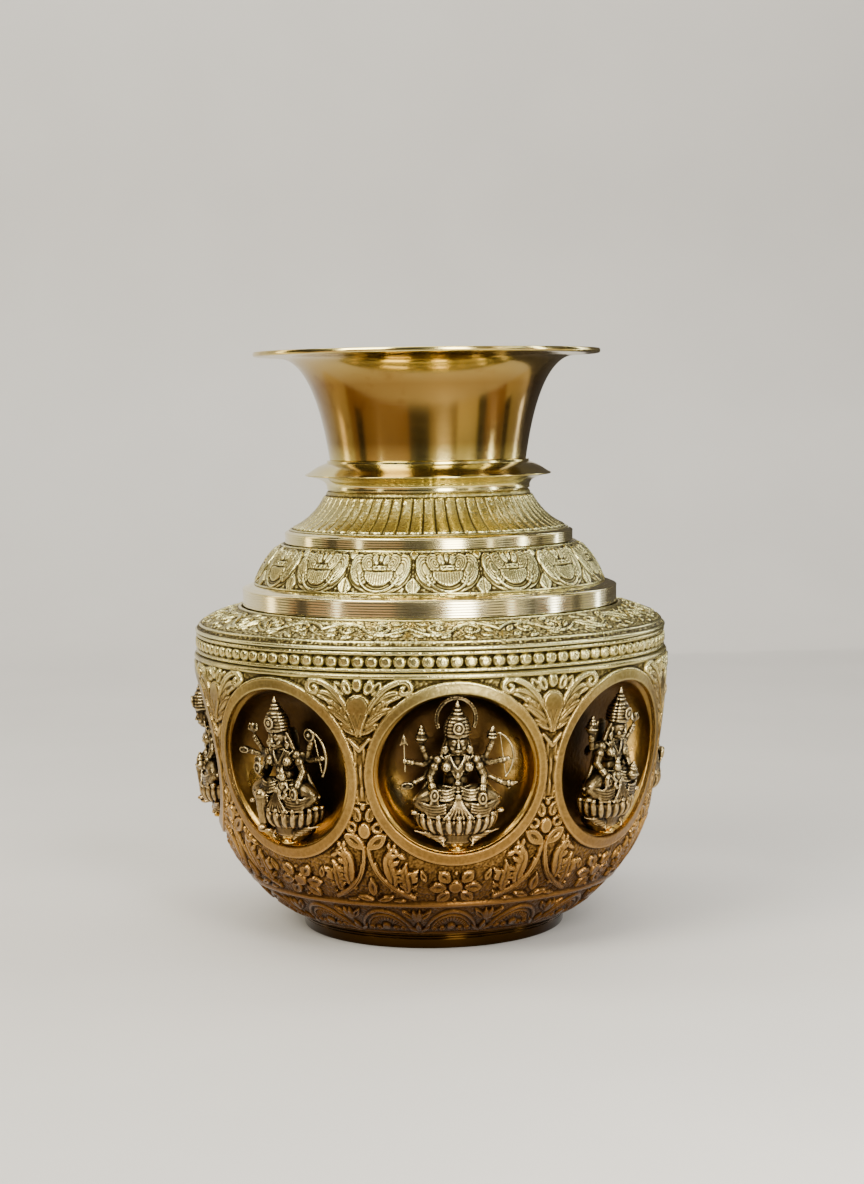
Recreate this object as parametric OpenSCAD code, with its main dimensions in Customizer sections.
// Brass kalash pot: a turned and cast vessel built up from stacked shells,
// with eight dished niches let into the belly, each holding a seated figure.
// Z points up, the foot stands on z = 0 and the pot's axis is the Z axis.

/* [Radii] */
// Outer radius of the foot ring at the floor
foot_r = 46; // [44:0.5:48]
// Largest radius of the belly, at the bead band
belly_r = 82.4; // [81:0.1:86]
// Outer radius of the lower polished step
step_r = 65.9; // [65:0.1:67]
// Outer radius of the upper polished step
upper_step_r = 50.7; // [50:0.1:51.5]
// Outer radius at the narrowest part of the neck
throat_r = 35.2; // [34.8:0.1:36]
// Radius of the sharp flange around the neck
flange_r = 43.2; // [41:0.1:46]
// Radius of the mouth's flat lip
lip_r = 60.8; // [57:0.1:64]

/* [Heights] */
// Height of the foot ring
foot_h = 5.2; // [4.5:0.1:7]
// Height of the belly, from the foot to the bead band
belly_h = 92.6; // [91:0.1:96]
// Height of the bead band
band_h = 7.2; // [6.5:0.1:9]
// Rise of the shoulder
shoulder_h = 8.4; // [8:0.1:10]
// Height of the lower polished step
step_h = 7.6; // [7:0.1:9]
// Height of the roundel dome
dome_h = 13.9; // [13:0.1:16]
// Height of the upper polished step
upper_step_h = 4.6; // [4:0.1:6]
// Height of the fluted neck
neck_h = 13.7; // [13:0.1:16]
// Height of the ring between the neck and the mouth
neck_ring_h = 10.6; // [10:0.1:12]
// Height of the trumpet mouth
mouth_h = 38; // [34:0.5:44]

/* [Walls] */
// Wall of the cast shells
wall = 2.4; // [2:0.1:2.6]
// Wall of the neck and the mouth
thin_wall = 1.8; // [1.6:0.1:2]
// Wall of the niche cups
cup_wall = 1.4; // [1:0.1:1.8]

/* [Niches] */
// Number of niches around the belly
niche_count = 8; // [8:1:8]
// Radius of each niche's opening
niche_r = 26.75; // [25.5:0.25:27.5]
// Height of the niche centres above the floor
niche_z = 64.4; // [63:0.2:66]
// Downward tilt of each niche's axis, in degrees
niche_tilt = 8.5; // [7:0.5:10]
// Depth of each cup behind the belly's surface
cup_depth = 13; // [12:0.5:14]
// Width of the raised rim around each opening
rim_w = 2.9; // [2:0.1:3.2]
// Height of the raised rim above the belly
rim_h = 0.9; // [0.5:0.1:1.2]

/* [Ornament] */
// Number of roundels on the dome
roundel_count = 16; // [8:1:16]
// Radius of each roundel
roundel_r = 7; // [5:0.1:7.4]

/* [Hidden] */
$fn = 96;

antique_brass = [0.62, 0.50, 0.27];
polished_brass = [0.80, 0.70, 0.45];
cup_brass = [0.86, 0.70, 0.30];
figure_brass = [0.50, 0.39, 0.20];

// Heights of the seams between the stacked pieces
foot_top = foot_h;
belly_top = foot_top + belly_h;
band_top = belly_top + band_h;
shoulder_top = band_top + shoulder_h;
step_top = shoulder_top + step_h;
dome_top = step_top + dome_h;
upper_step_top = dome_top + upper_step_h;
neck_top = upper_step_top + neck_h;
neck_ring_top = neck_top + neck_ring_h;
mouth_top = neck_ring_top + mouth_h;

// Each piece has a spigot that drops into the socket of the piece below
spigot_h = 2.4;
spigot_t = 1;
foot_socket = foot_r - 4;
belly_socket = belly_r - wall;
shoulder_socket = step_r - wall;
step_socket = shoulder_socket - 4;
dome_socket = upper_step_r - wall;
upper_step_socket = dome_socket - thin_wall;
neck_socket = throat_r - thin_wall;
mouth_socket = neck_socket - 0.4;

// Distance of the niche centres from the pot's axis
niche_axis_r = belly_r - 2;
pitch = 360 / niche_count;
pin_r = 2;
pin_head_r = 3.4;
pin_head_h = 1.2;
figure_back = -9;
lotus_foot_y = -21.4;

// ---- Curves ----

// Points along a cubic curve with the four control points in p
function curve(p, steps = 8) = [
    for (i = [0:steps])
        let (t = i / steps, s = 1 - t)
            s * s * s * p[0] + 3 * s * s * t * p[1] + 3 * s * t * t * p[2] + t * t * t * p[3]
];

// The same outline, moved w towards the axis (it has to run upwards)
function inset(p, w) = [
    for (i = [0:len(p) - 1])
        let (
            a = p[max(0, i - 1)],
            b = p[min(len(p) - 1, i + 1)],
            t = (b - a) / norm(b - a)
        )
            p[i] + w * [-t[1], t[0]]
];

function reversed(p) = [for (i = [len(p) - 1:-1:0]) p[i]];
function without_first(p) = [for (i = [1:len(p) - 1]) p[i]];

// Point of the belly's outline: u runs over its width and v over its height
belly_base_r = foot_r + 1.2;
belly_base_z = foot_top + 0.8;
function belly_point(u, v) = [
    belly_base_r + u * (belly_r - belly_base_r),
    belly_base_z + v * (belly_top - belly_base_z)
];

belly_outline = concat(
    curve([belly_point(0, 0), belly_point(0.251, 0.022), belly_point(0.713, 0.201), belly_point(0.83, 0.401)]),
    without_first(
        curve([belly_point(0.83, 0.401), belly_point(0.924, 0.576), belly_point(1, 0.726), belly_point(1, 1)])
    )
);

shoulder_outline = [
    [belly_r, band_top],
    [belly_r - 0.3, band_top + 1.6],
    [belly_r - 1.9, band_top + 3.6],
    [belly_r - 8.4, band_top + 6.2],
    [step_r + 0.5, shoulder_top]
];

dome_foot_r = step_r - 4.3;
dome_outline = curve([
    [dome_foot_r, step_top],
    [dome_foot_r - 5.2, step_top + 0.878 * dome_h],
    [upper_step_r + 1.3, step_top + 0.952 * dome_h],
    [upper_step_r + 0.7, dome_top]
]);

neck_foot_r = upper_step_r - 1.5;
neck_taper = neck_foot_r - throat_r;
neck_outline = curve([
    [neck_foot_r, upper_step_top],
    [neck_foot_r - 0.389 * neck_taper, upper_step_top + 0.141 * neck_h],
    [neck_foot_r - 0.791 * neck_taper, upper_step_top + 0.462 * neck_h],
    [throat_r, neck_top]
]);

mouth_foot_r = throat_r - 0.7;
mouth_flare = lip_r - mouth_foot_r;
lip_inner_r = mouth_foot_r + 0.684 * mouth_flare;
mouth_outline = curve([
    [mouth_foot_r, neck_ring_top],
    [mouth_foot_r + 0.062 * mouth_flare, neck_ring_top + 0.302 * mouth_h],
    [mouth_foot_r + 0.228 * mouth_flare, neck_ring_top + 0.95 * mouth_h],
    [lip_inner_r, neck_ring_top + 0.942 * mouth_h]
], 12);

// ---- Shared shapes ----

// A closed outline in (radius, height), turned about the Z axis
module turned(points) {
    rotate_extrude() polygon(points);
}

// A spigot of outer radius r under the seam at height z, as the end of an outline
function spigot(r, z) = [[r - spigot_t, z], [r - spigot_t, z - spigot_h], [r, z - spigot_h], [r, z]];

// Puts its children at niche n, with Z along the niche's axis and Y up
module at_niche(n) {
    rotate([0, 0, (n - 1) * pitch])
        translate([0, -niche_axis_r, niche_z])
            rotate([90 + niche_tilt, 0, 0])
                children();
}

// Everything inside the belly's outer surface, grown by g
module belly_solid(g) {
    grown = inset(belly_outline, -g);
    turned(concat([[0, foot_top - g]], [[belly_base_r - 0.3, foot_top - g]], grown, [[0, grown[len(grown) - 1][1]]]));
}

// A tapered limb with round ends, from a to b, turned in one piece
module limb(a, b, ra, rb) {
    d = b - a;
    l = norm(d);
    translate(a)
        rotate([0, acos(d[2] / l), atan2(d[1], d[0])])
            turned(concat(
                [[0, -ra]],
                [for (t = [-60:30:0]) [ra * cos(t), ra * sin(t)]],
                [for (t = [0:30:60]) [rb * cos(t), l + rb * sin(t)]],
                [[0, l + rb]]
            ));
}

// ---- Stacked pieces, from the floor up ----

module foot_ring() {
    line = 0.4;
    color(polished_brass)
        turned([
            [foot_socket, 0],
            [foot_r - line, 0],
            [foot_r, line],
            [foot_r + line, foot_top - 4 * line],
            [foot_r + 2 * line, foot_top - 3 * line],
            [foot_r + 2 * line, foot_top],
            [foot_socket, foot_top]
        ]);
}

module belly_bowl() {
    inner = inset(belly_outline, wall);
    floor_z = foot_top + wall;
    color(antique_brass)
        difference() {
            union() {
                turned(concat(
                    [[0, foot_top], [foot_socket - spigot_t, foot_top]],
                    [[foot_socket - spigot_t, foot_top - spigot_h], [foot_socket, foot_top - spigot_h]],
                    [[foot_socket, foot_top], [belly_base_r - 0.3, foot_top]],
                    belly_outline,
                    [[belly_socket, belly_top]],
                    reversed([for (p = inner) if (p[1] > floor_z + 1 && p[1] < belly_top - 1) p]),
                    [[0, floor_z]]
                ));
                niche_rims();
            }
            for (n = [1:niche_count]) at_niche(n) translate([0, 0, -cup_depth]) cylinder(h = 2 * cup_depth, r = niche_r);
        }
}

// Raised bands around the niches, following the belly's surface
module niche_rims() {
    intersection() {
        difference() {
            belly_solid(rim_h);
            belly_solid(-wall / 2);
        }
        for (n = [1:niche_count]) at_niche(n) translate([0, 0, -cup_depth / 2]) cylinder(h = cup_depth, r = niche_r + rim_w);
    }
}

module bead_band() {
    ridge = 1.1;
    groove = 1.2;
    bulge_h = band_h / 2 - ridge;
    mid = (belly_top + band_top) / 2;
    color(antique_brass)
        turned(concat(
            [[belly_r, belly_top], [belly_r, belly_top + ridge]],
            [for (a = [-90:15:90]) [belly_r - groove * (1 - cos(a)), mid + bulge_h * sin(a)]],
            [[belly_r, band_top - ridge], [belly_r, band_top], [belly_socket, band_top]],
            [[belly_socket, band_top - spigot_h]],
            spigot(belly_socket, belly_top)
        ));
}

module shoulder_cap() {
    inner = inset(shoulder_outline, wall);
    color(antique_brass)
        turned(concat(
            shoulder_outline,
            [[shoulder_socket, shoulder_top], [shoulder_socket, inner[4][1]]],
            reversed([for (p = inner) if (p[1] > band_top + 1) p]),
            spigot(belly_socket, band_top)
        ));
}

module lower_step_ring() {
    color(polished_brass)
        turned(concat(
            [[shoulder_socket, shoulder_top], [step_r, shoulder_top], [step_r, step_top - 1.6]],
            [[step_r - 0.5, step_top - 1], [step_r - 3.7, step_top]],
            [[step_socket, step_top], [step_socket, step_top - spigot_h], [shoulder_socket - spigot_t, step_top - 3]],
            spigot(shoulder_socket, shoulder_top)
        ));
}

module roundel_dome() {
    inner = inset(dome_outline, wall - 0.4);
    roundel_z = step_top + 0.47 * dome_h;
    roundel_tilt = 24;
    color(antique_brass)
        union() {
            turned(concat(
                dome_outline,
                [[dome_socket, dome_top], [dome_socket, dome_top - spigot_h]],
                reversed([for (p = inner) if (p[1] > step_top + 1 && p[1] < dome_top - spigot_h) p]),
                spigot(step_socket, step_top)
            ));
            for (i = [0:roundel_count - 1])
                rotate([0, 0, i * 360 / roundel_count])
                    translate([0, -dome_foot_r + 3, roundel_z])
                        rotate([90 - roundel_tilt, 0, 0])
                            cylinder(h = 1.2, r = roundel_r);
        }
}

module upper_step_ring() {
    color(polished_brass)
        turned(concat(
            [[dome_socket, dome_top], [upper_step_r, dome_top], [upper_step_r, upper_step_top - 0.9]],
            [[upper_step_r - 0.5, upper_step_top - 0.3], [neck_foot_r + 0.2, upper_step_top]],
            [[upper_step_socket, upper_step_top], [upper_step_socket, dome_top + 0.6]],
            spigot(dome_socket, dome_top)
        ));
}

module fluted_neck() {
    inner = inset(neck_outline, thin_wall);
    color(antique_brass)
        turned(concat(
            neck_outline,
            [[neck_socket, neck_top], [neck_socket, neck_top - spigot_h - 0.4]],
            reversed([for (p = inner) if (p[1] > upper_step_top + 1.4 && p[1] < neck_top - spigot_h - 1) p]),
            spigot(upper_step_socket, upper_step_top)
        ));
}

module neck_ring() {
    color(polished_brass)
        turned(concat(
            [[throat_r + 0.3, neck_top], [throat_r + 0.5, neck_top + 2.2], [throat_r + 1.2, neck_top + 3.8]],
            [[flange_r, neck_top + 5.4], [flange_r, neck_top + 5.7], [flange_r - 3.4, neck_top + 8.6]],
            [[mouth_foot_r + 0.1, neck_ring_top], [mouth_socket, neck_ring_top]],
            [[mouth_socket, neck_ring_top - spigot_h], [neck_socket - spigot_t, neck_ring_top - spigot_h - 1]],
            spigot(neck_socket, neck_top)
        ));
}

module mouth_trumpet() {
    inner = inset(mouth_outline, thin_wall - 0.2);
    lip_t = 1.2;
    color(polished_brass)
        turned(concat(
            mouth_outline,
            [[lip_r - 0.3, mouth_top - lip_t], [lip_r, mouth_top - 0.6], [lip_r, mouth_top]],
            [[lip_inner_r + 2, mouth_top]],
            reversed([for (p = inner) if (p[1] > neck_ring_top + 1) p]),
            spigot(mouth_socket, neck_ring_top)
        ));
}

// ---- Niches ----

// Dished cup that plugs a niche; its edge follows the belly, a little below it
module niche_cup(n) {
    dish = 5.5;
    inner_r = niche_r - cup_wall;
    arc = [for (a = [0:15:90]) [inner_r - dish + dish * cos(a), -cup_depth + dish - dish * sin(a)]];
    back = -cup_depth - cup_wall;
    outer_arc = [for (a = [0:15:90]) [inner_r - dish + (dish + cup_wall) * cos(a), -cup_depth + dish - (dish + cup_wall) * sin(a)]];
    color(cup_brass)
        intersection() {
            at_niche(n)
                turned(concat(
                    [[inner_r, cup_depth / 2]], arc, [[pin_r, -cup_depth], [pin_r, back]],
                    reversed(outer_arc), [[niche_r, cup_depth / 2]]
                ));
            belly_solid(-0.3);
        }
}

// Seated figure on a lotus, flat at the back, riveted to its cup by a pin
module figure(n) {
    arm_pairs = 1 + n % 2;
    color(figure_brass)
        at_niche(n) {
            difference() {
                union() {
                    figure_core();
                    for (side = [-1, 1]) {
                        folded_leg(side);
                        resting_arm(side);
                        for (k = [1:arm_pairs]) raised_arm(side, k);
                    }
                }
                translate([-niche_r, -niche_r, figure_back - 2 * niche_r]) cube(2 * niche_r);
            }
            translate([0, 0, -cup_depth]) cylinder(h = cup_depth + figure_back, r = 5);
            translate([0, 0, -cup_depth - cup_wall]) cylinder(h = cup_wall, r = pin_r);
            translate([0, 0, -cup_depth - cup_wall - pin_head_h]) cylinder(h = pin_head_h, r = pin_head_r);
        }
}

// Lotus, body, head and crown as one turned form, standing along Y
module figure_core() {
    translate([0, lotus_foot_y, -3.4])
        rotate([-90, 0, 0])
            turned([
                [0, 0], [7, 0], [10.4, 2.6], [9.4, 3.6], [13.6, 7.2], [8, 8.4],
                [6.6, 12], [4.6, 17], [5, 21], [6.3, 25], [5.4, 27], [2.2, 28.2],
                [2.2, 29.6], [3.4, 31], [4.2, 33.4], [3.8, 36], [4.7, 36.6], [3.9, 40], [1.8, 43.6], [0, 45.4]
            ]);
}

// Leg folded across the seat: thigh out to the knee and shin back to the middle
module folded_leg(side) {
    knee = [side * 14, -11.8, -1.2];
    limb([side * 4, -11.2, -4], knee, 4.2, 3.1);
    limb(knee, [side * 2.6, -13, -0.1], 3.3, 2.4);
}

// Lower arm with its hand on the knee
module resting_arm(side) {
    elbow = [side * 9.6, -4, -3];
    limb([side * 6.2, 3.4, -4.4], elbow, 2.5, 2);
    limb(elbow, [side * 7.2, -8.6, 0.2], 2.1, 1.6);
}

// The k-th raised arm on one side, its hand holding a round emblem
module raised_arm(side, k) {
    lift = 62 - (k - 1) * 34;
    bend = [side * 13, 1.5 - k * 1.2, -6];
    tip = [side * (13 + 5 * cos(lift)), 1.5 + 9 * sin(lift), -5];
    limb([side * 6, 2.4, -5.6], bend, 2.2, 1.8);
    limb(bend, tip, 1.9, 1.5);
    translate(tip) sphere(r = 2.3, $fn = 24);
}

// One bright stud under each lotus, between it and the wall of the cup
module figure_pegs() {
    stud_r = 1.5;
    inner_r = niche_r - cup_wall;
    color(cup_brass)
        for (n = [1:niche_count])
            at_niche(n)
                intersection() {
                    translate([0, -niche_r, -4]) rotate([-90, 0, 0]) cylinder(h = niche_r + lotus_foot_y, r = stud_r, $fn = 32);
                    translate([0, 0, -4 - stud_r]) cylinder(h = 2 * stud_r, r = inner_r);
                }
}

foot_ring();
belly_bowl();
bead_band();
shoulder_cap();
lower_step_ring();
roundel_dome();
upper_step_ring();
fluted_neck();
neck_ring();
mouth_trumpet();
figure_pegs();
niche_cup(1);  // niche_cup_1
niche_cup(2);  // niche_cup_2
niche_cup(3);  // niche_cup_3
niche_cup(4);  // niche_cup_4
niche_cup(5);  // niche_cup_5
niche_cup(6);  // niche_cup_6
niche_cup(7);  // niche_cup_7
niche_cup(8);  // niche_cup_8
figure(1);  // figure_1
figure(2);  // figure_2
figure(3);  // figure_3
figure(4);  // figure_4
figure(5);  // figure_5
figure(6);  // figure_6
figure(7);  // figure_7
figure(8);  // figure_8
